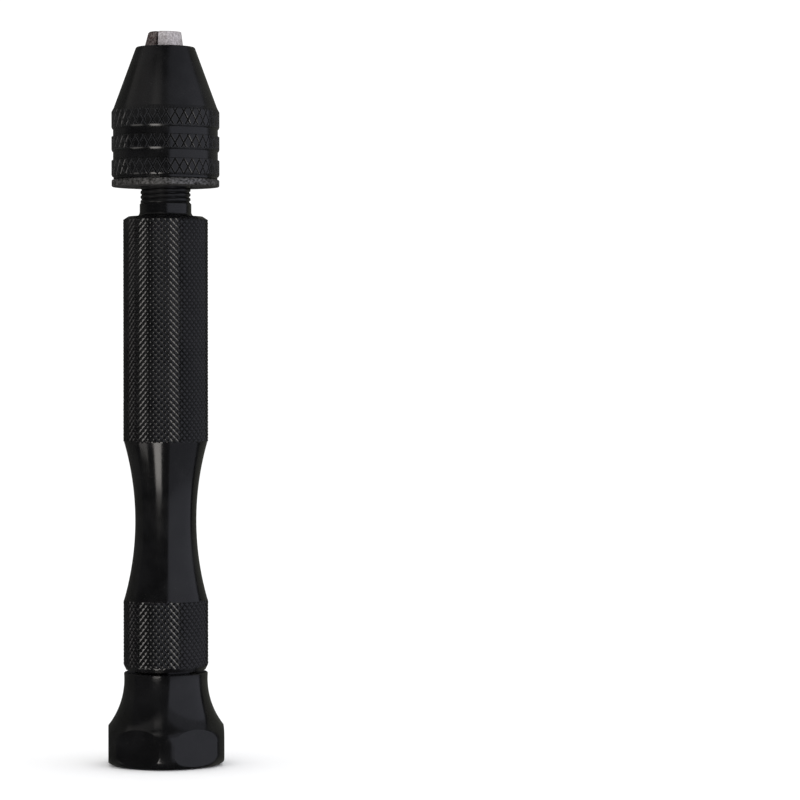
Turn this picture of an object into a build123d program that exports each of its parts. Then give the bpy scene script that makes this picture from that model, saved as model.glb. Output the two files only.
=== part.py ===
from build123d import *
import os
from math import cos, radians, sin, sqrt, tan

# A pin vise: a hand drill with a keyless three-jaw chuck and a palm cap that swivels on a
# ball bearing. Millimetres, +Z up the axis from the palm cap to the jaws, origin at the
# centre of the palm cap's base. The jaws stand nearly closed and the chuck is part way up
# its screw thread, with a few millimetres of the spindle showing below it.

# ---- palm cap ----
cap_height = 14.8
cap_radius = 10.0
cap_neck_radius = 6.67
flare_radius = 12.1  # hollow flare between the neck and the base, an arc in section
flare_centre_height = 13.7
cap_shoulder_round = 0.9
cap_base_round = 2.0
cap_edge_chamfer = 0.15
flat_apothem = 9.22  # six finger flats, as a hexagonal prism round the axis
flat_direction = 5.1
plug_radius = 6.5
plug_height = 1.2
plug_recess = 0.2
plug_seat_depth = plug_recess + plug_height

# ---- swivel: a 3 x 10 x 4 ball bearing, held by an M3 screw ----
bearing_bottom = 5.2
bearing_width = 4.0
bearing_radius = 5.0
bearing_bore_radius = 1.5
outer_ring_wall = 1.0
inner_ring_wall = 1.1
ball_count = 7
ball_radius = 0.794
race_radius = 0.83
ball_pitch_radius = 3.3
cage_wall = 0.5
cage_height = 2.2
cage_pocket_radius = 0.85
shield_thickness = 0.25
shield_inset = 0.1
shield_gap = 0.12  # between a shield and the inner ring
bearing_top = bearing_bottom + bearing_width
bearing_middle = bearing_bottom + bearing_width / 2
screw_passage_radius = 3.6
screw_radius = 1.5
screw_head_radius = 2.75
screw_head_height = 2.0
screw_head_chamfer = 0.2
screw_thread_length = 13.4
screw_hole_depth = 9.3
hex_across_flats = 2.0
hex_depth = 1.1
washer_radius = 2.5
washer_thickness = 0.5
lock_washer_thickness = 0.8
lock_washer_slit = 0.4
lock_washer_slant = 25
washer_bottom = bearing_bottom - washer_thickness
screw_seat = washer_bottom - lock_washer_thickness

# ---- handle ----
boss_radius = 2.5
spigot_bottom = 9.7
spigot_radius = 4.7
grip_bottom = 15.2
grip_radius = 6.8
grip_bottom_chamfer = (0.45, 0.9)  # radial, axial
waist_bottom = 26.3
waist_top = 51.8
waist_end_radius = 6.7
waist_radius = 4.89
grip_top = 87.65
grip_top_chamfer = (0.85, 0.55)
collar_radius = 4.13
collar_top = 89.7
thread_radius = 4.0  # M8 x 0.75
spindle_tip = 95.5
spindle_tip_chamfer = 0.4
shank_bore_radius = 1.75
shank_bore_depth = 14.0

# ---- chuck ----
overall_height = 117.1
flange_bottom = 92.4
flange_top = 93.5
flange_radius = 8.6
flange_chamfer = 0.12
socket_radius = 4.05  # turns on the spindle's thread
socket_depth = 6.4
socket_chamfer = 0.35
passage_radius = 1.8
body_radius = 7.55
groove_bottom = 104.6
groove_top = 108.35
groove_radius = 4.7
nose_gap = 0.2  # between the body's nose and the sleeve's cone
nose_top = 114.3

sleeve_bottom = 93.6
sleeve_top = 114.7
sleeve_bore_radius = 7.6
sleeve_wall = 0.75
band_radius = 8.62
band_groove_radius = 8.37
sleeve_foot_radius = 8.3
sleeve_foot_top = 94.0
band_grooves = ((96.6, 98.0), (100.4, 101.6))
band_top = 104.3
band_chamfer = 0.1
cone_bottom = 105.0
cone_bottom_radius = 8.25
cone_top_radius = 4.68
cone_slope = (cone_bottom_radius - cone_top_radius) / (sleeve_top - cone_bottom)
nose_opening_radius = 4.17

nut_bottom = 105.15
nut_top = 108.25
nut_clearance = 0.08  # between the nut's crests and the jaws' backs
nut_split = 0.1
nut_first_groove = 105.69
nut_groove_count = 4
nut_groove_depth = 0.25
thrust_washer_bottom = 104.65
thrust_washer_top = 105.1
thrust_washer_radii = (6.25, 7.35)

# ---- jaws ----
jaw_count = 3
first_jaw_direction = -55.9
jaw_tilt = 15.0
jaw_radius = 2.4
jaw_bore_radius = 2.45
jaw_offset = 0.2  # rod's centre line from the chuck's axis at the jaw tips
jaw_length = 12.63
jaw_bore_length = 17.3
jaw_half_slot = 0.2
jaw_land_radius = 0.45
jaw_tip_bevel = (0.14, 0.28)  # radial, axial
tooth_pitch = 0.8 * cos(radians(jaw_tilt))
tooth_depth = 0.3
tooth_half_width = 0.3
tooth_bottom = 106.2
tooth_count = 9

past_end = 3.0  # how far a cutting shape runs on beyond the piece


def cone_radius(height):
    """Radius of the sleeve's outer cone at a height."""
    return cone_bottom_radius - (height - cone_bottom) * cone_slope


def sleeve_inner_radius(height):
    """Radius of the sleeve's inner cone, which the nut is pressed into."""
    return cone_radius(height) - sleeve_wall * sqrt(1 + cone_slope**2)


def jaw_back_radius(height):
    """Radius of the cone that touches the backs of the three jaw rods."""
    tilt = radians(jaw_tilt)
    return jaw_offset + (overall_height - height) * tan(tilt) + jaw_radius / cos(tilt)


def jaw_plane(index, distance):
    """Plane square across a jaw rod, a distance back from its tip, facing the tip."""
    direction = radians(first_jaw_direction + index * 360 / jaw_count)
    tilt = radians(jaw_tilt)
    radius = jaw_offset + distance * sin(tilt)
    height = overall_height - distance * cos(tilt)
    return Plane(
        origin=(radius * cos(direction), radius * sin(direction), height),
        x_dir=(-sin(direction), cos(direction), 0),
        z_dir=(-sin(tilt) * cos(direction), -sin(tilt) * sin(direction), cos(tilt)),
    )


def make_palm_cap():
    flare_centre_radius = cap_neck_radius + flare_radius
    top_radius = flare_centre_radius - sqrt(flare_radius**2 - (cap_height - flare_centre_height) ** 2)
    shoulder = flare_centre_height - sqrt(flare_radius**2 - (flare_centre_radius - cap_radius) ** 2)
    with BuildPart() as palm_cap:
        with BuildSketch(Plane.XZ) as section:
            with BuildLine():
                Line((cap_radius, 0), (cap_radius, shoulder))
                ThreePointArc(
                    (cap_radius, shoulder), (cap_neck_radius, flare_centre_height), (top_radius, cap_height)
                )
                Polyline((top_radius, cap_height), (0, cap_height), (0, 0), (cap_radius, 0))
            make_face()
            rim = section.vertices().group_by(Axis.X)[-1].sort_by(Axis.Y)
            fillet(rim[0], cap_base_round)
            fillet(rim[-1], cap_shoulder_round)
        revolve(axis=Axis.Z)
        with BuildSketch(Plane.XY):
            RegularPolygon(flat_apothem, 6, major_radius=False, rotation=flat_direction + 30)
        extrude(amount=cap_height, mode=Mode.INTERSECT)
        chamfer(palm_cap.edges().filter_by(GeomType.CIRCLE).sort_by(Axis.Z)[-1], cap_edge_chamfer)
        with BuildSketch(Plane.XY):
            Circle(plug_radius)
        extrude(amount=plug_seat_depth, mode=Mode.SUBTRACT)
        with BuildSketch(Plane.XY):
            Circle(screw_passage_radius)
        extrude(amount=cap_height, mode=Mode.SUBTRACT)
        with BuildSketch(Plane.XY.offset(bearing_bottom)):
            Circle(bearing_radius)
        extrude(amount=cap_height - bearing_bottom, mode=Mode.SUBTRACT)
    palm_cap.part.label = "palm_cap"
    export_step(palm_cap.part, "parts/palm_cap.step")


def make_cap_plug():
    with BuildPart() as cap_plug:
        with BuildSketch(Plane.XY.offset(plug_recess)):
            Circle(plug_radius)
        extrude(amount=plug_height)
        chamfer(cap_plug.edges().group_by(Axis.Z)[0], plug_recess)
    cap_plug.part.label = "cap_plug"
    export_step(cap_plug.part, "parts/cap_plug.step")


def make_bearing_outer_ring():
    with BuildPart(Plane.XY.offset(bearing_middle)) as bearing_outer_ring:
        Cylinder(bearing_radius, bearing_width)
        Cylinder(bearing_radius - outer_ring_wall, bearing_width, mode=Mode.SUBTRACT)
        Torus(ball_pitch_radius, race_radius, mode=Mode.SUBTRACT)
    bearing_outer_ring.part.label = "bearing_outer_ring"
    export_step(bearing_outer_ring.part, "parts/bearing_outer_ring.step")


def make_bearing_inner_ring():
    with BuildPart(Plane.XY.offset(bearing_middle)) as bearing_inner_ring:
        Cylinder(bearing_bore_radius + inner_ring_wall, bearing_width)
        Cylinder(bearing_bore_radius, bearing_width, mode=Mode.SUBTRACT)
        Torus(ball_pitch_radius, race_radius, mode=Mode.SUBTRACT)
    bearing_inner_ring.part.label = "bearing_inner_ring"
    export_step(bearing_inner_ring.part, "parts/bearing_inner_ring.step")


def make_bearing_balls():
    with BuildPart(Plane.XY.offset(bearing_middle)) as bearing_balls:
        with PolarLocations(ball_pitch_radius, ball_count):
            Sphere(ball_radius)
    bearing_balls.part.label = "bearing_balls"
    export_step(bearing_balls.part, "parts/bearing_balls.step")


def make_bearing_cage():
    with BuildPart(Plane.XY.offset(bearing_middle)) as bearing_cage:
        Cylinder(ball_pitch_radius + cage_wall / 2, cage_height)
        Cylinder(ball_pitch_radius - cage_wall / 2, cage_height, mode=Mode.SUBTRACT)
        with PolarLocations(ball_pitch_radius, ball_count):
            Cylinder(cage_pocket_radius, 3 * cage_wall, rotation=(0, 90, 0), mode=Mode.SUBTRACT)
    bearing_cage.part.label = "bearing_cage"
    export_step(bearing_cage.part, "parts/bearing_cage.step")


def make_bearing_shields():
    lower = bearing_bottom + shield_inset
    upper = bearing_top - shield_inset - shield_thickness
    for side, height in (("lower", lower), ("upper", upper)):
        with BuildPart() as bearing_shield:
            with BuildSketch(Plane.XY.offset(height)):
                Circle(bearing_radius - outer_ring_wall)
                Circle(bearing_bore_radius + inner_ring_wall + shield_gap, mode=Mode.SUBTRACT)
            extrude(amount=shield_thickness)
        bearing_shield.part.label = f"bearing_shield_{side}"
        export_step(bearing_shield.part, f"parts/bearing_shield_{side}.step")


def make_retaining_washer():
    with BuildPart() as retaining_washer:
        with BuildSketch(Plane.XY.offset(washer_bottom)):
            Circle(washer_radius)
            Circle(screw_radius, mode=Mode.SUBTRACT)
        extrude(amount=washer_thickness)
    retaining_washer.part.label = "retaining_washer"
    export_step(retaining_washer.part, "parts/retaining_washer.step")


def make_lock_washer():
    with BuildPart() as lock_washer:
        with BuildSketch(Plane.XY.offset(screw_seat)):
            Circle(washer_radius)
            Circle(screw_radius, mode=Mode.SUBTRACT)
        extrude(amount=lock_washer_thickness)
        with Locations((washer_radius, 0, screw_seat + lock_washer_thickness / 2)):
            Box(
                2 * washer_radius,
                lock_washer_slit,
                3 * lock_washer_thickness,
                rotation=(lock_washer_slant, 0, 0),
                mode=Mode.SUBTRACT,
            )
    lock_washer.part.label = "lock_washer"
    export_step(lock_washer.part, "parts/lock_washer.step")


def make_swivel_screw():
    head_bottom = screw_seat - screw_head_height
    with BuildPart() as swivel_screw:
        with BuildSketch(Plane.XY.offset(head_bottom)):
            Circle(screw_head_radius)
        extrude(amount=screw_head_height)
        chamfer(swivel_screw.edges().group_by(Axis.Z)[0], screw_head_chamfer)
        with BuildSketch(Plane.XY.offset(screw_seat)):
            Circle(screw_radius)
        extrude(amount=screw_thread_length)
        with BuildSketch(Plane.XY.offset(head_bottom)):
            RegularPolygon(hex_across_flats / 2, 6, major_radius=False)
        extrude(amount=hex_depth, mode=Mode.SUBTRACT)
    swivel_screw.part.label = "swivel_screw"
    export_step(swivel_screw.part, "parts/swivel_screw.step")


def make_handle():
    with BuildPart() as handle:
        with BuildSketch(Plane.XZ):
            with BuildLine():
                Polyline(
                    (0, bearing_top),
                    (boss_radius, bearing_top),
                    (boss_radius, spigot_bottom),
                    (spigot_radius, spigot_bottom),
                    (spigot_radius, grip_bottom),
                    (grip_radius - grip_bottom_chamfer[0], grip_bottom),
                    (grip_radius, grip_bottom + grip_bottom_chamfer[1]),
                    (grip_radius, waist_bottom),
                    (waist_end_radius, waist_bottom),
                )
                ThreePointArc(
                    (waist_end_radius, waist_bottom),
                    (waist_radius, (waist_bottom + waist_top) / 2),
                    (waist_end_radius, waist_top),
                )
                Polyline(
                    (waist_end_radius, waist_top),
                    (grip_radius, waist_top),
                    (grip_radius, grip_top - grip_top_chamfer[1]),
                    (grip_radius - grip_top_chamfer[0], grip_top),
                    (collar_radius, grip_top),
                    (collar_radius, collar_top),
                    (thread_radius, collar_top),
                    (thread_radius, spindle_tip - spindle_tip_chamfer),
                    (thread_radius - spindle_tip_chamfer, spindle_tip),
                    (0, spindle_tip),
                    (0, bearing_top),
                )
            make_face()
        revolve(axis=Axis.Z)
        with BuildSketch(Plane.XY.offset(bearing_top)):
            Circle(screw_radius)
        extrude(amount=screw_hole_depth, mode=Mode.SUBTRACT)
        with Locations((0, 0, spindle_tip)):
            Hole(shank_bore_radius, depth=shank_bore_depth)
    handle.part.label = "handle"
    export_step(handle.part, "parts/handle.step")


def make_chuck_body():
    nose_bottom_radius = sleeve_inner_radius(groove_top) - nose_gap
    nose_top_radius = nose_opening_radius - nose_gap
    nose_cone_top = groove_top + (nose_bottom_radius - nose_top_radius) / cone_slope
    with BuildPart() as chuck_body:
        with BuildSketch(Plane.XZ):
            with BuildLine():
                Polyline(
                    (0, flange_bottom),
                    (flange_radius - flange_chamfer, flange_bottom),
                    (flange_radius, flange_bottom + flange_chamfer),
                    (flange_radius, flange_top - flange_chamfer),
                    (flange_radius - flange_chamfer, flange_top),
                    (body_radius, flange_top),
                    (body_radius, groove_bottom),
                    (groove_radius, groove_bottom),
                    (groove_radius, groove_top),
                    (nose_bottom_radius, groove_top),
                    (nose_top_radius, nose_cone_top),
                    (nose_top_radius, nose_top),
                    (0, nose_top),
                    (0, flange_bottom),
                )
            make_face()
        revolve(axis=Axis.Z)
        with BuildSketch(Plane.XY.offset(flange_bottom)):
            Circle(passage_radius)
        extrude(amount=nose_top - flange_bottom, mode=Mode.SUBTRACT)
        with BuildSketch(Plane.XY.offset(flange_bottom)):
            Circle(socket_radius)
        extrude(amount=socket_depth, mode=Mode.SUBTRACT)
        socket_mouth = chuck_body.edges().filter_by(GeomType.CIRCLE).group_by(Axis.Z)[0]
        chamfer(socket_mouth.sort_by(SortBy.RADIUS)[0], socket_chamfer)
        for index in range(jaw_count):
            with BuildSketch(jaw_plane(index, jaw_bore_length)):
                Circle(jaw_bore_radius)
            extrude(amount=jaw_bore_length + past_end, mode=Mode.SUBTRACT)
    chuck_body.part.label = "chuck_body"
    export_step(chuck_body.part, "parts/chuck_body.step")


def band_points(low, high):
    """Outline of one knurled band, with small chamfers where it meets the grooves."""
    return [
        (band_groove_radius, low),
        (band_radius - band_chamfer, low),
        (band_radius, low + band_chamfer),
        (band_radius, high - band_chamfer),
        (band_radius - band_chamfer, high),
        (band_groove_radius, high),
    ]


def make_chuck_sleeve():
    outline = [(sleeve_bore_radius, sleeve_bottom), (sleeve_foot_radius, sleeve_bottom)]
    outline += [(sleeve_foot_radius, sleeve_foot_top)]
    band_bottom = sleeve_foot_top
    for groove_low, groove_high in band_grooves:
        outline += band_points(band_bottom, groove_low)
        band_bottom = groove_high
    outline += band_points(band_bottom, band_top)[:4]
    inner_cone_top = cone_bottom + (sleeve_inner_radius(cone_bottom) - nose_opening_radius) / cone_slope
    outline += [
        (cone_bottom_radius, cone_bottom),
        (cone_top_radius, sleeve_top),
        (nose_opening_radius, sleeve_top),
        (nose_opening_radius, inner_cone_top),
        (sleeve_inner_radius(nut_bottom), nut_bottom),
        (sleeve_bore_radius, nut_bottom),
    ]
    with BuildPart() as chuck_sleeve:
        with BuildSketch(Plane.XZ):
            with BuildLine():
                Polyline(*outline, close=True)
            make_face()
        revolve(axis=Axis.Z)
    chuck_sleeve.part.label = "chuck_sleeve"
    export_step(chuck_sleeve.part, "parts/chuck_sleeve.step")


def nut_bore_radius(height):
    """Crest radius of the nut's conical thread."""
    return jaw_back_radius(height) + nut_clearance


def make_nut_halves():
    halves = (("a", nut_split / 2, Keep.TOP), ("b", -nut_split / 2, Keep.BOTTOM))
    for half, offset, side in halves:
        with BuildPart() as nut_half:
            with BuildSketch(Plane.XZ):
                with BuildLine():
                    Polyline(
                        (nut_bore_radius(nut_bottom), nut_bottom),
                        (sleeve_inner_radius(nut_bottom), nut_bottom),
                        (sleeve_inner_radius(nut_top), nut_top),
                        (nut_bore_radius(nut_top), nut_top),
                        close=True,
                    )
                make_face()
            revolve(axis=Axis.Z)
            with BuildSketch(Plane.XZ):
                for groove in range(nut_groove_count):
                    height = nut_first_groove + groove * tooth_pitch
                    low = height - tooth_half_width
                    high = height + tooth_half_width
                    with BuildLine():
                        Polyline(
                            (nut_bore_radius(low) - nut_clearance, low),
                            (nut_bore_radius(height) + nut_groove_depth, height),
                            (nut_bore_radius(high) - nut_clearance, high),
                            close=True,
                        )
                    make_face()
            revolve(axis=Axis.Z, mode=Mode.SUBTRACT)
            split(bisect_by=Plane.ZX.offset(offset), keep=side)
        nut_half.part.label = f"nut_half_{half}"
        export_step(nut_half.part, f"parts/nut_half_{half}.step")


def make_thrust_washer():
    with BuildPart() as thrust_washer:
        with BuildSketch(Plane.XY.offset(thrust_washer_bottom)):
            Circle(thrust_washer_radii[1])
            Circle(thrust_washer_radii[0], mode=Mode.SUBTRACT)
        extrude(amount=thrust_washer_top - thrust_washer_bottom)
    thrust_washer.part.label = "thrust_washer"
    export_step(thrust_washer.part, "parts/thrust_washer.step")


def make_jaw(index):
    direction = radians(first_jaw_direction + index * 360 / jaw_count)
    half_sector = radians(180 / jaw_count)
    apex = jaw_half_slot / sin(half_sector)
    reach = 4 * jaw_radius
    jaw_bottom = overall_height - jaw_length - past_end
    with BuildPart() as jaw:
        with BuildSketch(jaw_plane(index, jaw_length)):
            Circle(jaw_radius)
        extrude(amount=jaw_length + past_end)
        split(bisect_by=Plane.XY.offset(overall_height), keep=Keep.BOTTOM)
        # two flats meet the neighbouring jaws, with a narrow slot between
        sector_plane = Plane(
            origin=(0, 0, jaw_bottom), x_dir=(cos(direction), sin(direction), 0), z_dir=(0, 0, 1)
        )
        with BuildSketch(sector_plane):
            with BuildLine():
                Polyline(
                    (apex, 0),
                    (apex + reach * cos(half_sector), reach * sin(half_sector)),
                    (apex + reach, 0),
                    (apex + reach * cos(half_sector), -reach * sin(half_sector)),
                    close=True,
                )
            make_face()
        extrude(amount=jaw_length + 2 * past_end, mode=Mode.INTERSECT)
        # the gripping land along the axis
        with BuildSketch(Plane.XY.offset(jaw_bottom)):
            Circle(jaw_land_radius)
        extrude(amount=jaw_length + 2 * past_end, mode=Mode.SUBTRACT)
        # the tip's bevel, and the thread on the jaw's back, both turned about the chuck's axis
        tip_radius = jaw_back_radius(overall_height)
        with BuildSketch(Plane.XZ):
            with BuildLine():
                Polyline(
                    (tip_radius - jaw_tip_bevel[0], overall_height),
                    (tip_radius + jaw_radius, overall_height),
                    (tip_radius + jaw_radius, overall_height - jaw_tip_bevel[1]),
                    (tip_radius + jaw_tip_bevel[0], overall_height - jaw_tip_bevel[1]),
                    close=True,
                )
            make_face()
            for tooth in range(tooth_count):
                height = tooth_bottom + tooth * tooth_pitch
                low = height - tooth_half_width
                high = height + tooth_half_width
                with BuildLine():
                    Polyline(
                        (jaw_back_radius(low), low),
                        (jaw_back_radius(height) - tooth_depth, height),
                        (jaw_back_radius(high), high),
                        close=True,
                    )
                make_face()
        revolve(axis=Axis.Z, mode=Mode.SUBTRACT)
    jaw.part.label = f"jaw_{index + 1}"
    export_step(jaw.part, f"parts/jaw_{index + 1}.step")


def main():
    os.makedirs("parts", exist_ok=True)
    make_palm_cap()
    make_cap_plug()
    make_bearing_outer_ring()
    make_bearing_inner_ring()
    make_bearing_balls()
    make_bearing_cage()
    make_bearing_shields()
    make_retaining_washer()
    make_lock_washer()
    make_swivel_screw()
    make_handle()
    make_chuck_body()
    make_chuck_sleeve()
    make_nut_halves()
    make_thrust_washer()
    for index in range(jaw_count):
        make_jaw(index)


main()
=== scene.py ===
"""Looks of a pin vise drill: a knurled black anodised handle with a keyless chuck and a swivel
palm cap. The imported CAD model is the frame; detailed pieces here stand for the nodes that show.
Lengths are in millimetres until a mesh is made, and angles in degrees."""
from math import acos, atan2, cos, degrees, pi, radians, sin, sqrt, tan

import bpy
import numpy as np
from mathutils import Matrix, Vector


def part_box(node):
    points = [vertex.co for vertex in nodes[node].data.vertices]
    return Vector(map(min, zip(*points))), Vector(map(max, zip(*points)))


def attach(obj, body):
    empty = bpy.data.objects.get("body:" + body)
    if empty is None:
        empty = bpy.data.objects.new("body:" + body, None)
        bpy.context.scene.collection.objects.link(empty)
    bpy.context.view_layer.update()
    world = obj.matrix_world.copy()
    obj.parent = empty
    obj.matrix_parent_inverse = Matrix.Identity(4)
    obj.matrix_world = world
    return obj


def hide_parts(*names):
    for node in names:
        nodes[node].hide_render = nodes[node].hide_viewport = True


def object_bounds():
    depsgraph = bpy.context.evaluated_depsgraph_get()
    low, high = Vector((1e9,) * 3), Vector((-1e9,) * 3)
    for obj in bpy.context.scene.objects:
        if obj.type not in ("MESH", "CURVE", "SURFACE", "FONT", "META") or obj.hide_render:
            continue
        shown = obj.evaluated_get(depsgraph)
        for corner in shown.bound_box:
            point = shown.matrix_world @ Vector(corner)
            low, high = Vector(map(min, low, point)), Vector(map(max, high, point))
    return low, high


MM = 0.001

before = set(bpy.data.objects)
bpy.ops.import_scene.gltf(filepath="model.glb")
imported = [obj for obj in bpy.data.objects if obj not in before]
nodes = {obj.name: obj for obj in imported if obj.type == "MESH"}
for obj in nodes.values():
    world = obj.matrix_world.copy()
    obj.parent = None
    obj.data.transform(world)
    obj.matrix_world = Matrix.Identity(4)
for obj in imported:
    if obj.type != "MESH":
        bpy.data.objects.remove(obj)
cad_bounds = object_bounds()
scene = bpy.context.scene


def low(node):
    """Height of a node's lowest point, in mm."""
    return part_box(node)[0][2] / MM


def high(node):
    """Height of a node's highest point, in mm."""
    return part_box(node)[1][2] / MM


# ---------------------------------------------------------------- camera and light

EYE_RIGHT = 37.5  # mm to the right of the tool's axis
EYE_DISTANCE = 525.0
EYE_HEIGHT = 65.2
EYE_DIP = 0.75  # degrees below level
LENS = 147.6
SENSOR = 36.0


def make_camera():
    camera = bpy.data.cameras.new("camera")
    camera.lens = LENS
    camera.sensor_width = SENSOR
    camera.clip_start = 0.01
    camera.clip_end = 50
    eye = bpy.data.objects.new("camera", camera)
    eye.location = Vector((EYE_RIGHT, -EYE_DISTANCE, EYE_HEIGHT)) * MM
    eye.rotation_euler = (radians(90 - EYE_DIP), 0, 0)
    scene.collection.objects.link(eye)
    scene.camera = eye


def direction(across, up):
    """Unit vector from the tool, by degrees right of the eye and degrees above level."""
    bearing = atan2(-EYE_DISTANCE, EYE_RIGHT) + radians(across)
    rise = radians(up)
    return Vector((cos(bearing) * cos(rise), sin(bearing) * cos(rise), sin(rise)))


def softbox(name, across, up, radiance, tint, distance=1.0, aim=EYE_HEIGHT):
    """A rectangular light that faces the axis at height aim, in mm, from a distance in metres. It
    fills the ranges across and up, in the angles that direction() takes."""
    middle = direction(sum(across) / 2, sum(up) / 2)
    light = bpy.data.lights.new(name, "AREA")
    light.shape = "RECTANGLE"
    light.size = 2 * distance * tan(radians(across[1] - across[0]) / 2)
    light.size_y = 2 * distance * tan(radians(up[1] - up[0]) / 2)
    light.energy = radiance * pi * light.size * light.size_y
    light.color = tint
    lamp = bpy.data.objects.new(name, light)
    lamp.location = Vector((0, 0, aim * MM)) + middle * distance
    lamp.rotation_euler = middle.to_track_quat("Z", "Y").to_euler()
    scene.collection.objects.link(lamp)


def make_lights():
    """A broad panel on the right, narrow lights low on the left, weak ones over the cone, and rims."""
    cool, warm, olive = (0.84, 0.86, 1.0), (1.0, 0.96, 0.92), (1.0, 1.0, 0.84)
    near_the_cone = {"distance": 0.2, "aim": 110}
    softbox("side_panel", (9, 106), (-50, 62), 0.22, cool)
    softbox("side_panel_middle", (9, 106), (-16, 41), 0.22, cool)
    softbox("low_front", (-35, -16), (-52, -16), 3.6, warm)
    softbox("low_left", (-84, -60), (-40, -25), 1.1, warm)
    softbox("high_left", (-102, -18), (28, 50), 0.17, warm, **near_the_cone)
    softbox("high_front", (-32, -15), (30, 50), 0.28, warm, **near_the_cone)
    softbox("back_right", (116, 170), (-40, 50), 0.09, olive)
    softbox("back_left", (-170, -95), (-40, 50), 0.04, olive)
    softbox("high_back", (172, 188), (24, 58), 0.5, cool)


BACKGROUND = 1.1
GLOSSY_BACKGROUND = 0.025  # what reflections see of it


def make_world():
    """White to the eye and to diffuse light, and nearly dark in reflections, as on a black-flagged set."""
    world = bpy.data.worlds.new("studio")
    scene.world = world
    world.use_nodes = True
    tree = world.node_tree
    tree.nodes.clear()
    output = tree.nodes.new("ShaderNodeOutputWorld")
    mix = tree.nodes.new("ShaderNodeMixShader")
    bright = tree.nodes.new("ShaderNodeBackground")
    dim = tree.nodes.new("ShaderNodeBackground")
    path = tree.nodes.new("ShaderNodeLightPath")
    bright.inputs["Color"].default_value = (1, 1, 1, 1)
    bright.inputs["Strength"].default_value = BACKGROUND
    dim.inputs["Color"].default_value = (0.95, 0.95, 1, 1)
    dim.inputs["Strength"].default_value = GLOSSY_BACKGROUND
    tree.links.new(path.outputs["Is Glossy Ray"], mix.inputs[0])
    tree.links.new(bright.outputs[0], mix.inputs[1])
    tree.links.new(dim.outputs[0], mix.inputs[2])
    tree.links.new(mix.outputs[0], output.inputs[0])


def make_floor():
    """A pale matt floor that the tool's gloss doesn't mirror, and that lets light through from below."""
    half = 4.0  # metres
    mesh = bpy.data.meshes.new("floor")
    corners = [(-half, -half, 0), (half, -half, 0), (half, half, 0), (-half, half, 0)]
    mesh.from_pydata(corners, [], [(0, 1, 2, 3)])
    floor = bpy.data.objects.new("floor", mesh)
    floor.location.z = cad_bounds[0][2]
    floor.visible_glossy = False
    floor.visible_shadow = False
    scene.collection.objects.link(floor)
    material = bpy.data.materials.new("floor")
    material.use_nodes = True
    shader = material.node_tree.nodes["Principled BSDF"]
    shader.inputs["Base Color"].default_value = (0.93, 0.93, 0.93, 1)
    shader.inputs["Roughness"].default_value = 1.0
    shader.inputs["Specular IOR Level"].default_value = 0.0
    mesh.materials.append(material)


# ---------------------------------------------------------------- materials


class Shader:
    """A Principled material and the few node helpers that the finishes below share."""

    def __init__(self, name):
        self.material = bpy.data.materials.new(name)
        self.material.use_nodes = True
        self.nodes = self.material.node_tree.nodes
        self.links = self.material.node_tree.links
        self.principled = self.nodes["Principled BSDF"]
        self.place = self.nodes.new("ShaderNodeTexCoord").outputs["Object"]

    def set(self, **values):
        for socket, value in values.items():
            self.principled.inputs[socket.replace("_", " ")].default_value = value

    def stretched(self, across, along):
        """Object coordinates with their own scale across and along the axis, per metre."""
        mapping = self.nodes.new("ShaderNodeMapping")
        mapping.inputs["Scale"].default_value = (across, across, along)
        self.links.new(self.place, mapping.inputs["Vector"])
        return mapping.outputs["Vector"]

    def noise(self, scale, detail=3.0, roughness=0.55, vector=None, distortion=0.0):
        texture = self.nodes.new("ShaderNodeTexNoise")
        texture.inputs["Scale"].default_value = scale
        texture.inputs["Detail"].default_value = detail
        texture.inputs["Roughness"].default_value = roughness
        texture.inputs["Distortion"].default_value = distortion
        self.links.new(vector or self.place, texture.inputs["Vector"])
        return texture.outputs["Fac"]

    def turned_tangent(self):
        """Turning marks run round the axis, so they spread highlights along it."""
        tangent = self.nodes.new("ShaderNodeTangent")
        tangent.direction_type = "RADIAL"
        tangent.axis = "Z"
        self.links.new(tangent.outputs["Tangent"], self.principled.inputs["Tangent"])

    def attribute(self, name):
        node = self.nodes.new("ShaderNodeAttribute")
        node.attribute_name = name
        return node.outputs["Fac"]

    def ramp(self, value, start, end, low=0.0, high=1.0):
        node = self.nodes.new("ShaderNodeMapRange")
        node.interpolation_type = "SMOOTHSTEP"
        for socket, number in (("From Min", start), ("From Max", end), ("To Min", low), ("To Max", high)):
            node.inputs[socket].default_value = number
        self.links.new(value, node.inputs["Value"])
        return node.outputs["Result"]

    def maths(self, operation, first, second):
        node = self.nodes.new("ShaderNodeMath")
        node.operation = operation
        for socket, value in zip(node.inputs, (first, second)):
            if isinstance(value, (int, float)):
                socket.default_value = value
            else:
                self.links.new(value, socket)
        return node.outputs[0]

    def mix(self, share, first, second):
        node = self.nodes.new("ShaderNodeMix")
        node.data_type = "RGBA"
        for socket, value in (("Factor", share), ("A", first), ("B", second)):
            target = [s for s in node.inputs if s.name == socket and s.enabled][0]
            if isinstance(value, tuple):
                target.default_value = (*value, 1)
            else:
                self.links.new(value, target)
        return [s for s in node.outputs if s.enabled][0]

    def bump(self, height, distance, strength=1.0, under=None):
        node = self.nodes.new("ShaderNodeBump")
        node.inputs["Strength"].default_value = strength
        node.inputs["Distance"].default_value = distance * MM
        self.links.new(height, node.inputs["Height"])
        if under is not None:
            self.links.new(under, node.inputs["Normal"])
        return node.outputs["Normal"]

    def feed(self, **outputs):
        for socket, output in outputs.items():
            self.links.new(output, self.principled.inputs[socket.replace("_", " ")])
        return self.material


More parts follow.
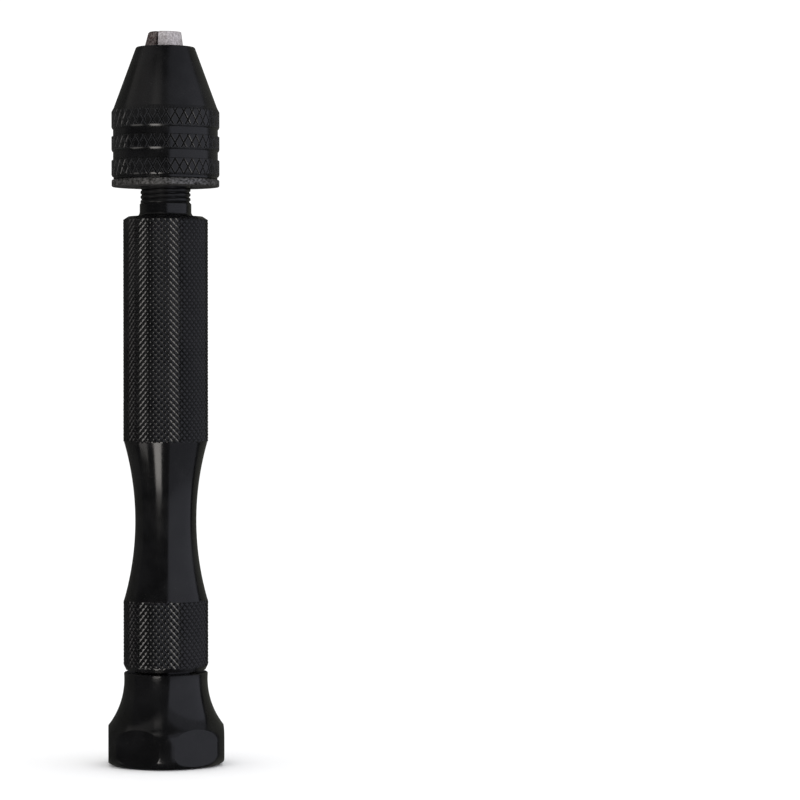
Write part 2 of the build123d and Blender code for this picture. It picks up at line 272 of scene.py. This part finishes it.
# sizes of the noises, in cycles per metre: the first pair is across and along the axis
RINGS, SMUDGES, GRAIN, DUST = (180.0, 16000.0), 170.0, 24000.0, 5200.0
MARK_DEPTH, GRAIN_DEPTH = 0.0012, 0.0004  # mm
DYE_BLUE = 1.08  # the dye's blue over its red and green
DUST_TONE, DUST_COVER, DUST_ROUGH = (0.055, 0.052, 0.048), 0.35, 0.25
WORN_TONE, WORN_COVER = (0.045, 0.045, 0.048), 0.5
GROOVE_ROUGH = 0.8


def anodised(name, gloss=(0.13, 0.24), dye=(0.0024, 0.0052)):
    """Black dyed aluminium: glossy, with fine turning marks, smudges and a little dust. gloss is
    its range of roughness and dye its range of grey."""
    s = Shader(name)
    s.set(IOR=1.6, Metallic=0.0, Anisotropic=0.5, Anisotropic_Rotation=0.25)
    s.turned_tangent()
    rings = s.noise(1.0, 4.0, 0.65, s.stretched(*RINGS))
    smudge = s.noise(SMUDGES, 4.0, 0.6)
    grain = s.noise(GRAIN, 2.0, 0.5)
    dust = s.ramp(s.noise(DUST, 2.0, 0.5), 0.70, 0.76)
    wear = s.attribute("wear")
    groove = s.attribute("groove")
    shades = [(grey, grey, grey * DYE_BLUE) for grey in dye]
    tone = s.mix(s.ramp(smudge, 0.35, 0.7), *shades)
    tone = s.mix(s.maths("MULTIPLY", dust, DUST_COVER), tone, DUST_TONE)
    tone = s.mix(s.maths("MULTIPLY", wear, WORN_COVER), tone, WORN_TONE)
    uneven = s.maths("ADD", s.maths("MULTIPLY", smudge, 0.7), s.maths("MULTIPLY", grain, 0.3))
    satin = s.ramp(uneven, 0.35, 0.65, *gloss)
    satin = s.maths("ADD", satin, s.maths("MULTIPLY", dust, DUST_ROUGH))
    satin = s.maths("ADD", satin, s.maths("MULTIPLY", groove, GROOVE_ROUGH))
    relief = s.bump(rings, MARK_DEPTH)
    relief = s.bump(grain, GRAIN_DEPTH, 0.5, relief)
    return s.feed(Base_Color=tone, Roughness=satin, Normal=relief)


TURNED_LINES, GROUND_LINES = (220.0, 9000.0), (5200.0, 420.0)  # cycles per metre, across and along


def steel(name, dark, light, rough, scale, marks, stain=None, stained=0.0, turned=True, metallic=1.0):
    """Bare metal with machining marks, mottling between two tones, and stains. rough is its range
    of roughness, scale the mottling's in cycles per metre, marks their depth in mm, and stained how
    strong the stains are, 0 to 1. Turned marks run round the axis and ground ones along it."""
    s = Shader(name)
    s.set(Metallic=metallic)
    mottle = s.noise(scale, 5.0, 0.62)
    fine = s.noise(scale * 9, 3.0, 0.6)
    lines = s.noise(1.0, 3.0, 0.6, s.stretched(*(TURNED_LINES if turned else GROUND_LINES)))
    tone = s.mix(s.ramp(mottle, 0.32, 0.68), dark, light)
    if stain:
        patch = s.ramp(s.noise(scale * 0.45, 4.0, 0.6, distortion=0.6), 0.5, 0.68, 0.0, stained)
        tone = s.mix(patch, tone, stain)
    satin = s.ramp(fine, 0.3, 0.7, *rough)
    relief = s.bump(lines, marks)
    relief = s.bump(mottle, marks * 1.5, 0.6, relief)
    return s.feed(Base_Color=tone, Roughness=satin, Normal=relief)


# ---------------------------------------------------------------- turned meshes


def rounded(corners, steps=3):
    """A profile with arcs at its corners. Each corner is (radius, height, rounding), and the
    rounding of the first and last isn't used."""
    path = [corners[0][:2]]
    for before, corner, after in zip(corners, corners[1:], corners[2:]):
        here = Vector(corner[:2])
        back = (Vector(before[:2]) - here).normalized()
        on = (Vector(after[:2]) - here).normalized()
        if corner[2] == 0:
            path.append(corner[:2])
            continue
        half = acos(max(-1.0, min(1.0, back.dot(on)))) / 2
        reach = corner[2] / tan(half)
        centre = here + (back + on).normalized() * corner[2] / sin(half)
        first = here + back * reach - centre
        last = here + on * reach - centre
        sweep = first.angle_signed(last)
        for step in range(steps + 1):
            turn = -sweep * step / steps
            x = first.x * cos(turn) - first.y * sin(turn)
            y = first.x * sin(turn) + first.y * cos(turn)
            path.append((centre.x + x, centre.y + y))
    path.append(corners[-1][:2])
    return path


def arc(start, middle, end, steps):
    """Points on the circle through three points, from start to end."""
    (ax, ay), (bx, by), (cx, cy) = start, middle, end
    d = 2 * (ax * (by - cy) + bx * (cy - ay) + cx * (ay - by))
    a2, b2, c2 = ax * ax + ay * ay, bx * bx + by * by, cx * cx + cy * cy
    ox = (a2 * (by - cy) + b2 * (cy - ay) + c2 * (ay - by)) / d
    oy = (a2 * (cx - bx) + b2 * (ax - cx) + c2 * (bx - ax)) / d
    r = sqrt((ax - ox) ** 2 + (ay - oy) ** 2)
    first, last = atan2(ay - oy, ax - ox), atan2(cy - oy, cx - ox)
    mid = atan2(by - oy, bx - ox)
    while last < first:
        last += 2 * pi
    if not first < mid + (2 * pi if mid < first else 0) < last:
        last -= 2 * pi
    angles = np.linspace(first, last, steps + 1)
    return [(ox + r * cos(t), oy + r * sin(t)) for t in angles]


def lathe(name, angles, radius, height, poles=None, lean=None, wear=None, groove=None):
    """A surface turned round the axis. Row j, column i of radius and height is the point at
    angles[i]; rows run from the bottom, outwards and up, so that the faces look outwards.
    poles gives the heights where an open profile meets the axis; without it the rows close
    on themselves. lean is +1 or -1 where a quad is split along one or the other diagonal.
    wear and groove, 0 to 1 at each point, are kept for the finish."""
    rows, columns = radius.shape
    height = np.broadcast_to(np.asarray(height, float).reshape(rows, -1), (rows, columns))
    x, y = radius * np.cos(angles), radius * np.sin(angles)
    points = np.stack([x, y, height], axis=-1).reshape(-1, 3)
    bands = rows if poles is None else rows - 1
    j, i = np.meshgrid(np.arange(bands), np.arange(columns), indexing="ij")
    right, above = (i + 1) % columns, (j + 1) % rows
    a, b = j * columns + i, j * columns + right
    c, d = above * columns + right, above * columns + i
    split = np.zeros((bands, columns), int)
    if lean is not None:
        split[: lean.shape[0]] = lean
    faces = np.stack([a, b, c, d], -1)[split == 0].tolist()
    rise = split > 0
    faces += np.stack([a, b, c], -1)[rise].tolist() + np.stack([a, c, d], -1)[rise].tolist()
    fall = split < 0
    faces += np.stack([a, b, d], -1)[fall].tolist() + np.stack([b, c, d], -1)[fall].tolist()
    if poles is not None:
        first, last = len(points), len(points) + 1
        points = np.concatenate([points, [(0, 0, poles[0]), (0, 0, poles[1])]])
        top = (rows - 1) * columns
        faces += [(first, (k + 1) % columns, k) for k in range(columns)]
        faces += [(last, top + k, top + (k + 1) % columns) for k in range(columns)]
    mesh = bpy.data.meshes.new(name)
    mesh.from_pydata((points * MM).tolist(), [], faces)
    mesh.update()
    for label, share in (("wear", wear), ("groove", groove)):
        layer = mesh.attributes.new(label, "FLOAT", "POINT")
        values = np.zeros(len(points), np.float32)
        if share is not None:
            values[: rows * columns] = share.reshape(-1)
        layer.data.foreach_set("value", values)
    return mesh


def piece(mesh, body, material, replaced, crease):
    """Links a mesh as a piece that rides on a body and stands for a CAD node. Edges sharper than
    crease stay sharp."""
    mesh.materials.append(material)
    mesh.shade_smooth()
    mesh.set_sharp_from_angle(angle=radians(crease))
    thing = bpy.data.objects.new(mesh.name, mesh)
    scene.collection.objects.link(thing)
    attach(thing, body)
    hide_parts(replaced)


def round_steps(count):
    """Evenly spaced angles round the axis, in radians."""
    return np.arange(count) * 2 * pi / count


def triangle(phase):
    """0 on whole numbers and 1 half way between them."""
    return 1 - 2 * np.abs(phase - np.floor(phase) - 0.5)


def knurl(angles, heights, around, rise, start):
    """How far each point lies from the grooves of a diamond knurl, 0 to 1, and which groove is
    nearer. around is diamonds per turn, rise the height of one, start a height they begin at."""
    turn = np.asarray(angles)[None, :] * around / (2 * pi)
    climb = ((np.asarray(heights) - start) / rise)[:, None]
    falling, rising = triangle(turn + climb), triangle(turn - climb)
    return np.minimum(falling, rising), np.where(rising < falling, 1, -1)


def knurl_lean(angles, heights, around, rise, start):
    """Which way to split each quad, so that its edge runs along the nearer groove."""
    step = angles[1] - angles[0]
    middle = (np.asarray(heights)[1:] + np.asarray(heights)[:-1]) / 2
    return knurl(np.asarray(angles) + step / 2, middle, around, rise, start)[1]


ROW_GAP = 0.03  # rows this near to a fixed one are left out
SAME = 0.01  # measures this near count as the same
CRISP = 0.02  # height of the narrow row that keeps a step in an outline sharp


# ---------------------------------------------------------------- handle

GRIP_RADIUS = 6.8
GRIP_AROUND = 42  # diamonds round the grip
GRIP_STEPS = 6  # mesh steps to a diamond
GRIP_DEPTH = 0.175
GRIP_SWELL = 1.3  # above 1, a diamond's faces swell towards a blunt tip
GRIP_WEAR = 0.5  # on the diamonds' tips
UPPER_RISE, LOWER_RISE = 0.994, 1.07  # heights of a diamond above and below the waist
FOOT_BOTTOM, FOOT_CHAMFER_TOP, FOOT_CHAMFER = 15.2, 16.1, 0.45
WAIST_BOTTOM, WAIST_TOP = 26.3, 51.8
WAIST_END, WAIST_RADIUS = 6.7, 4.89  # radius at its ends and at its middle
WAIST_ROWS, WAIST_POINTS = 24, 80
KNURL_RUN_OUT = 1.1  # how far the knurl's fine rows go on into the waist
SHOULDER, GRIP_TOP, SHOULDER_CHAMFER = 87.1, 87.65, 0.85
SHOULDER_STEP = 0.15
COLLAR_RADIUS, COLLAR_TOP = 4.13, 89.7
COLLAR_FILLET, COLLAR_EDGE, COLLAR_STEPS = 0.7, 0.08, 4
THREAD_RADIUS, THREAD_PITCH, THREAD_DEPTH = 4.0, 0.75, 0.25
THREAD_CUT = 0.55  # share of the pitch that the V groove takes
THREAD_START = 0.3  # share of a pitch in which the groove reaches its depth
THREAD_ROWS = 7  # mesh rows to a pitch
THREAD_DULL = 0.15  # its groove attribute, for a rougher finish
TIP_CHAMFER = 0.4
SPINDLE_BORE, SPINDLE_BORE_DEPTH = 1.75, 14.0
BOSS_RADIUS, SPIGOT_BOTTOM, SPIGOT_RADIUS, SPIGOT_ROUND = 2.5, 9.7, 4.7, 0.15
SCREW_HOLE, SCREW_HOLE_TOP = 1.5, 18.5


def thread(angles, heights):
    """Radius of a right-hand thread with flat crests and V grooves, fading in above the collar."""
    turn = np.asarray(angles)[None, :] / (2 * pi)
    climb = (np.asarray(heights) / THREAD_PITCH)[:, None]
    ridge = np.clip(triangle(climb - turn) / THREAD_CUT, 0, 1)
    fade = np.clip((np.asarray(heights) - COLLAR_TOP) / (THREAD_START * THREAD_PITCH), 0, 1)[:, None]
    return THREAD_RADIUS - THREAD_DEPTH * (1 - ridge) * fade


def make_handle():
    angles = round_steps(GRIP_AROUND * GRIP_STEPS)
    bottom, top = low("handle"), high("handle")
    foot = (GRIP_RADIUS - FOOT_CHAMFER, FOOT_BOTTOM)
    shoulder_end = (GRIP_RADIUS - SHOULDER_CHAMFER, GRIP_TOP)
    under = rounded([
        (0, SCREW_HOLE_TOP, 0), (SCREW_HOLE, SCREW_HOLE_TOP, 0), (SCREW_HOLE, bottom, 0),
        (BOSS_RADIUS, bottom, 0), (BOSS_RADIUS, SPIGOT_BOTTOM, 0),
        (SPIGOT_RADIUS, SPIGOT_BOTTOM, SPIGOT_ROUND), (SPIGOT_RADIUS, FOOT_BOTTOM, 0), foot,
    ])[1:]
    # rows of the grip, fine where it is knurled
    step = LOWER_RISE / GRIP_STEPS
    lower = np.arange(FOOT_BOTTOM, WAIST_BOTTOM, step)[1:]
    lower = np.append(lower, [WAIST_BOTTOM, WAIST_BOTTOM + CRISP])
    run_out = np.arange(WAIST_BOTTOM, WAIST_BOTTOM + KNURL_RUN_OUT, step)[1:]
    waist = np.linspace(run_out[-1], WAIST_BOTTOM + WAIST_TOP - run_out[-1], WAIST_ROWS)[1:]
    step = UPPER_RISE / GRIP_STEPS
    run_in = np.arange(waist[-1] + step, WAIST_TOP, step)
    upper = np.arange(WAIST_TOP + step, SHOULDER + SHOULDER_STEP / 3, step)
    upper = np.append([WAIST_TOP + CRISP], upper)
    shoulder = np.append(SHOULDER + SHOULDER_STEP * np.arange(1, 4), [GRIP_TOP - CRISP, GRIP_TOP])
    heights = np.concatenate([lower, run_out, waist, run_in, upper, shoulder])
    # the turned outline, before the knurl is cut into it
    middle = (WAIST_BOTTOM + WAIST_TOP) / 2
    curve = arc((WAIST_END, WAIST_BOTTOM), (WAIST_RADIUS, middle), (WAIST_END, WAIST_TOP), WAIST_POINTS)
    outline = [foot, (GRIP_RADIUS, FOOT_CHAMFER_TOP), (GRIP_RADIUS, WAIST_BOTTOM)]
    outline += [(WAIST_END, WAIST_BOTTOM + CRISP), *curve[1:-1], (WAIST_END, WAIST_TOP - CRISP)]
    outline += [(GRIP_RADIUS, WAIST_TOP), (GRIP_RADIUS, SHOULDER), shoulder_end]
    radii, levels = zip(*outline)
    turned = np.interp(heights, levels, radii)
    # heights counted in diamonds, since the two knurls differ a little
    is_low = heights < middle
    start, rise = np.where(is_low, FOOT_BOTTOM, WAIST_TOP), np.where(is_low, LOWER_RISE, UPPER_RISE)
    rows = (heights - start) / rise
    crest, _ = knurl(angles, rows, GRIP_AROUND, 1.0, 0.0)
    lean = knurl_lean(angles, rows, GRIP_AROUND, 1.0, 0.0)
    cut = GRIP_RADIUS - GRIP_DEPTH * (1 - crest) ** GRIP_SWELL
    grip = np.minimum(turned[:, None], cut)
    smooth = (cut > turned[:, None]).all(axis=1)
    lean[smooth[1:] & smooth[:-1]] = 0
    wear = np.where(grip > GRIP_RADIUS - SAME, GRIP_WEAR, 0.0)
    # collar and thread
    collar = rounded([
        (*shoulder_end, 0), (COLLAR_RADIUS, GRIP_TOP, COLLAR_FILLET),
        (COLLAR_RADIUS, COLLAR_TOP, COLLAR_EDGE), (THREAD_RADIUS, COLLAR_TOP, 0),
    ], COLLAR_STEPS)[1:]
    climbs = np.arange(COLLAR_TOP, top, THREAD_PITCH / THREAD_ROWS)[1:]
    climbs = np.append(climbs[climbs < top - ROW_GAP], [top])
    tip_radii = [THREAD_RADIUS, THREAD_RADIUS, THREAD_RADIUS - TIP_CHAMFER]
    blank = np.interp(climbs, [COLLAR_TOP, top - TIP_CHAMFER, top], tip_radii)
    spindle = np.minimum(blank[:, None], thread(angles, climbs))
    bore = [(SPINDLE_BORE, top), (SPINDLE_BORE, top - SPINDLE_BORE_DEPTH)]

    def ring(path):
        return np.repeat(np.array([r for r, _ in path])[:, None], len(angles), axis=1)

    radius = np.concatenate([ring(under), grip, ring(collar), spindle, ring(bore)])
    height = np.concatenate([
        [z for _, z in under], heights, [z for _, z in collar], climbs, [z for _, z in bore],
    ])
    all_lean = np.zeros((len(height) - 1, len(angles)), int)
    all_lean[len(under) : len(under) + len(lean)] = lean
    all_wear = np.zeros(radius.shape)
    all_wear[len(under) : len(under) + len(wear)] = wear
    dull = np.zeros(radius.shape)
    dull[-len(climbs) - len(bore) :] = THREAD_DULL
    ends = (SCREW_HOLE_TOP, top - SPINDLE_BORE_DEPTH)
    mesh = lathe("handle_turned", angles, radius, height, ends, all_lean, all_wear, dull)
    piece(mesh, "handle", anodised("handle_black"), "handle", 30)


# ---------------------------------------------------------------- chuck sleeve

BAND_RADIUS, BAND_GROOVE = 8.62, 8.37
BANDS = ((94.0, 96.6), (98.0, 100.4), (101.6, 104.3))
BAND_AROUND, BAND_RISE = 38, 2.47  # diamonds round a band, and the height of one
BAND_STEPS = 16  # mesh steps to a diamond
BAND_DEPTH = 0.21
BAND_CUT = 0.18  # share of a diamond's half width that the V groove takes
BAND_BEVEL = (0.13, 0.3)  # bevel under each band, radial and axial, plain under the upper two
BAND_WEAR, WORN_REACH = 0.7, 1.5  # along the knurl's edges, as far as this many groove half widths
KNURL_OVERRUN = 0.6  # how far up the cone the knurl may cut
CONE_BOTTOM, CONE_BOTTOM_RADIUS, CONE_TOP_RADIUS = 105.0, 8.25, 4.68
CONE_ROWS = 14
SLEEVE_FOOT = 8.3
SLEEVE_BORE, NOSE_OPENING = 7.6, 4.17
SLEEVE_WALL = 0.75
FOOT_ROUND, BEVEL_ROUNDS, BAND_TOP_ROUND, GROOVE_ROUND = 0.06, (0.03, 0.08), 0.09, 0.05
LAST_BAND_ROUND, CONE_ROUND, NOSE_ROUND = 0.25, 0.3, 0.08


def make_sleeve():
    angles = round_steps(BAND_AROUND * BAND_STEPS)
    bottom, top = low("chuck_sleeve"), high("chuck_sleeve")
    seat = low("nut_half_a")
    slope = (CONE_BOTTOM_RADIUS - CONE_TOP_RADIUS) / (top - CONE_BOTTOM)
    wall = SLEEVE_WALL * sqrt(1 + slope * slope)
    seat_radius = CONE_BOTTOM_RADIUS - (seat - CONE_BOTTOM) * slope - wall
    inner_top = CONE_BOTTOM + (CONE_BOTTOM_RADIUS - wall - NOSE_OPENING) / slope
    corners = [(SLEEVE_BORE, bottom, 0), (SLEEVE_FOOT, bottom, FOOT_ROUND), (SLEEVE_FOOT, BANDS[0][0], 0)]
    inset, bevel = BAND_BEVEL
    for (start, end), above in zip(BANDS, (*BANDS[1:], None)):
        corners += [(BAND_RADIUS - inset, start, BEVEL_ROUNDS[0])]
        corners += [(BAND_RADIUS, start + bevel, BEVEL_ROUNDS[1])]
        if above:
            corners += [(BAND_RADIUS, end, BAND_TOP_ROUND)]
            corners += [(BAND_GROOVE, end, GROOVE_ROUND), (BAND_GROOVE, above[0], GROOVE_ROUND)]
        else:
            corners += [(BAND_RADIUS, end, LAST_BAND_ROUND)]
    corners += [(CONE_BOTTOM_RADIUS, CONE_BOTTOM, CONE_ROUND), (CONE_TOP_RADIUS, top, CONE_ROUND)]
    corners += [(NOSE_OPENING, top, NOSE_ROUND), (NOSE_OPENING, inner_top, 0)]
    corners += [(seat_radius, seat, 0), (SLEEVE_BORE, seat, 0), (SLEEVE_BORE, bottom, 0)]
    path = rounded(corners)[:-1]
    # more rows where the knurl is cut, at the steps of its grid
    step = BAND_RISE / BAND_STEPS
    grid = BANDS[0][0] + step * np.arange(int((CONE_BOTTOM - BANDS[0][0]) / step) + 2)
    full = []
    for here, there in zip(path, path[1:] + path[:1]):
        full.append(here)
        outside = min(here[0], there[0]) > SLEEVE_BORE + SAME and there[1] > here[1] + SAME
        shares = []
        if outside and here[1] < CONE_BOTTOM:
            between = grid[(grid > here[1] + ROW_GAP) & (grid < there[1] - ROW_GAP)]
            shares = (between - here[1]) / (there[1] - here[1])
        elif outside:
            shares = np.linspace(0, 1, CONE_ROWS)[1:-1]
        for share in shares:
            full.append(tuple(a + share * (b - a) for a, b in zip(here, there)))
    radii, heights = np.array(full).T
    crest, _ = knurl(angles, heights, BAND_AROUND, BAND_RISE, BANDS[0][0])
    land = np.clip(crest / BAND_CUT, 0, 1)
    for start, _ in BANDS[1:]:
        land[(heights > start - SAME) & (heights < start + bevel)] = 1
    cut = BAND_RADIUS - BAND_DEPTH * (1 - land)
    banded = (heights >= BANDS[0][0] - SAME) & (heights < CONE_BOTTOM + KNURL_OVERRUN)
    outside = banded & (radii > (SLEEVE_BORE + SLEEVE_FOOT) / 2)
    radius = np.where(outside[:, None], np.minimum(radii[:, None], cut), radii[:, None])
    lean = knurl_lean(angles, heights, BAND_AROUND, BAND_RISE, BANDS[0][0])
    lean[~(outside[1:] & outside[:-1])] = 0
    raised = (radius > BAND_RADIUS - ROW_GAP) & (crest < WORN_REACH * BAND_CUT)
    wear = np.where(raised, BAND_WEAR, 0.0)
    groove = np.where(outside[:, None] & (cut < radii[:, None] - SAME), 1 - land, 0.0)
    mesh = lathe("sleeve_turned", angles, radius, heights, None, lean, wear, groove)
    black = anodised("sleeve_black", gloss=(0.16, 0.28), dye=(0.003, 0.0065))
    piece(mesh, "chuck_sleeve", black, "chuck_sleeve", 30)


# ---------------------------------------------------------------- palm cap

CAP_RADIUS = 9.996
CAP_NECK = 6.67
FLARE_RADIUS, FLARE_CENTRE = 12.1, 13.7  # the flare's arc, and the height of its narrowest point
FLARE_POINTS = 60
CAP_BASE_ROUND = 2.0
SHOULDER_REACH, SHOULDER_POINTS = 6, 9  # points of the flare that the rounded shoulder takes in
SHOULDER_DROP = 1.1  # how far down the side it goes, over how far up the flare
RIM_CHAMFER = 0.15
RIM_ROUND, BORE_ROUND = 0.04, 0.1
FLAT_APOTHEM = 9.22
FLAT_DIRECTION = 5.1
FLAT_MARGIN = 0.35  # angle between a flat's end and the nearest column
FLAT_COLUMNS, CORNER_COLUMNS = 41, 8
BASE_ROWS, FLAT_ROWS, FLARE_ROWS = 10, 12, 54
FLAT_EDGE = 0.05  # half the width of the broken edge round each flat
PLUG_RADIUS, PLUG_SEAT = 6.5, 1.4
CAP_HOLE, CAP_BORE = 3.6, 5.0


def cap_outline():
    """The cap's turned outline above its base round, from the vertical side to the neck."""
    centre = CAP_NECK + FLARE_RADIUS
    top = high("palm_cap")
    corner = FLARE_CENTRE - sqrt(FLARE_RADIUS**2 - (centre - CAP_RADIUS) ** 2)
    levels = np.linspace(corner, top - RIM_CHAMFER, FLARE_POINTS)
    flare = [(centre - sqrt(FLARE_RADIUS**2 - (z - FLARE_CENTRE) ** 2), z) for z in levels]
    # round the shoulder where the flare meets the side
    far = flare[SHOULDER_REACH]
    near = (CAP_RADIUS, corner - (far[1] - corner) * SHOULDER_DROP)
    shoulder = [
        (
            near[0] * (1 - t) ** 2 + 2 * CAP_RADIUS * t * (1 - t) + far[0] * t * t,
            near[1] * (1 - t) ** 2 + 2 * corner * t * (1 - t) + far[1] * t * t,
        )
        for t in np.linspace(0, 1, SHOULDER_POINTS)
    ]
    return shoulder + flare[SHOULDER_REACH + 1 :]


def make_cap():
    top = high("palm_cap")
    outline = cap_outline()
    radii, levels = np.array(outline).T
    half = degrees(acos(FLAT_APOTHEM / CAP_RADIUS))
    on_flat = np.linspace(-half + FLAT_MARGIN, half - FLAT_MARGIN, FLAT_COLUMNS)
    on_corner = np.linspace(half + FLAT_MARGIN, 60 - half - FLAT_MARGIN, CORNER_COLUMNS)
    offsets = np.concatenate([on_flat, on_corner])
    angles = np.radians(np.concatenate([FLAT_DIRECTION + 60 * k + offsets for k in range(6)]))
    across = np.radians(np.tile((offsets + 30) % 60 - 30, 6))
    chord = np.minimum(FLAT_APOTHEM / np.cos(across), CAP_RADIUS)
    flat_low = CAP_BASE_ROUND - np.sqrt(CAP_BASE_ROUND**2 - (chord - CAP_RADIUS + CAP_BASE_ROUND) ** 2)
    flat_high = np.interp(-chord, -radii, levels)
    rows = []
    bearing_seat = low("bearing_outer_ring")

    def row(radius, height):
        rows.append((np.broadcast_to(radius, angles.shape), np.broadcast_to(height, angles.shape)))

    def turned(height):
        """Radius of the turned outline at heights on and above the side."""
        return np.interp(height, levels, radii)

    row(PLUG_RADIUS, 0.0)
    for share in np.linspace(0, 1, BASE_ROWS):
        tilt = np.arccos(np.clip(1 - (flat_low - FLAT_EDGE) / CAP_BASE_ROUND, -1, 1)) * share
        radius = CAP_RADIUS - CAP_BASE_ROUND + CAP_BASE_ROUND * np.sin(tilt)
        row(radius, CAP_BASE_ROUND * (1 - np.cos(tilt)))
    for share in np.linspace(0, 1, FLAT_ROWS):
        level = flat_low + FLAT_EDGE + share * (flat_high - flat_low - 2 * FLAT_EDGE)
        row(chord, level)
    for share in np.linspace(0, 1, FLARE_ROWS):
        level = flat_high + FLAT_EDGE + share * (levels[-1] - flat_high - FLAT_EDGE)
        row(np.minimum(turned(level), chord), level)
    for radius, height in rounded([
        (radii[-1], levels[-1], 0), (radii[-1] - RIM_CHAMFER, top, RIM_ROUND), (CAP_BORE, top, BORE_ROUND),
        (CAP_BORE, bearing_seat, 0), (CAP_HOLE, bearing_seat, 0), (CAP_HOLE, PLUG_SEAT, 0),
        (PLUG_RADIUS, PLUG_SEAT, 0), (PLUG_RADIUS, 0, 0),
    ])[1:-1]:
        row(radius, height)
    radius = np.array([r for r, _ in rows])
    height = np.array([z for _, z in rows])
    mesh = lathe("cap_turned", angles, radius, height)
    piece(mesh, "palm_cap", anodised("cap_black", gloss=(0.12, 0.2)), "palm_cap", 12)


# ---------------------------------------------------------------- the rest of the CAD nodes


JAWS = ("jaw_1", "jaw_2", "jaw_3")


def front_left_jaw():
    """The jaw whose box reaches furthest to the front left, which gets a painted shade."""
    return min(JAWS, key=lambda name: sum(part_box(name)[0][:2]))


def finish_nodes():
    """Materials for the CAD nodes that stay. Where a node comes twice, the later material holds."""
    finishes = [
        (anodised("plug_black"), ["cap_plug"]),
        (
            steel("flange_steel", (0.022, 0.021, 0.019), (0.35, 0.345, 0.335), (0.42, 0.65), 2900.0, 0.03,
                  stain=(0.05, 0.045, 0.04), stained=0.6, metallic=0.9),
            ["chuck_body"],
        ),
        (
            steel("jaw_steel", (0.33, 0.305, 0.31), (0.66, 0.625, 0.635), (0.3, 0.5), 4200.0, 0.006,
                  stain=(0.2, 0.16, 0.16), stained=0.5, turned=False, metallic=0.35),
            JAWS,
        ),
        # painted shade: a darker, reddish copy of jaw_steel, with its own darker stain patches, for the
        # jaw on the tool's dark left side
        (
            steel("jaw_steel_painted_shade", (0.02, 0.01, 0.01), (0.26, 0.22, 0.21), (0.35, 0.55), 3600.0, 0.008,
                  stain=(0.06, 0.02, 0.018), stained=0.8, turned=False, metallic=0.5),
            [front_left_jaw()],
        ),
        (
            steel("race_steel", (0.55, 0.55, 0.56), (0.68, 0.68, 0.69), (0.16, 0.3), 700.0, 0.001),
            ["bearing_outer_ring", "bearing_inner_ring"],
        ),
        (
            steel("ball_steel", (0.7, 0.7, 0.72), (0.8, 0.8, 0.82), (0.04, 0.1), 500.0, 0.0003),
            ["bearing_balls"],
        ),
        (
            steel("cage_brass", (0.55, 0.38, 0.14), (0.72, 0.52, 0.22), (0.25, 0.42), 900.0, 0.002),
            ["bearing_cage"],
        ),
        (
            steel("shield_steel", (0.42, 0.42, 0.43), (0.56, 0.56, 0.57), (0.3, 0.45), 800.0, 0.002),
            ["bearing_shield_lower", "bearing_shield_upper"],
        ),
        (
            steel("zinc_steel", (0.38, 0.38, 0.4), (0.55, 0.55, 0.57), (0.25, 0.42), 900.0, 0.002),
            ["swivel_screw", "retaining_washer", "lock_washer"],
        ),
        (
            steel("nut_steel", (0.28, 0.27, 0.26), (0.44, 0.43, 0.42), (0.3, 0.5), 900.0, 0.003),
            ["nut_half_a", "nut_half_b", "thrust_washer"],
        ),
    ]
    for material, names in finishes:
        for name in names:
            for slot in nodes[name].material_slots:
                slot.material = material


def main():
    scene.view_settings.view_transform = "Standard"
    make_camera()
    make_world()
    make_lights()
    make_floor()
    make_handle()
    make_sleeve()
    make_cap()
    finish_nodes()


main()
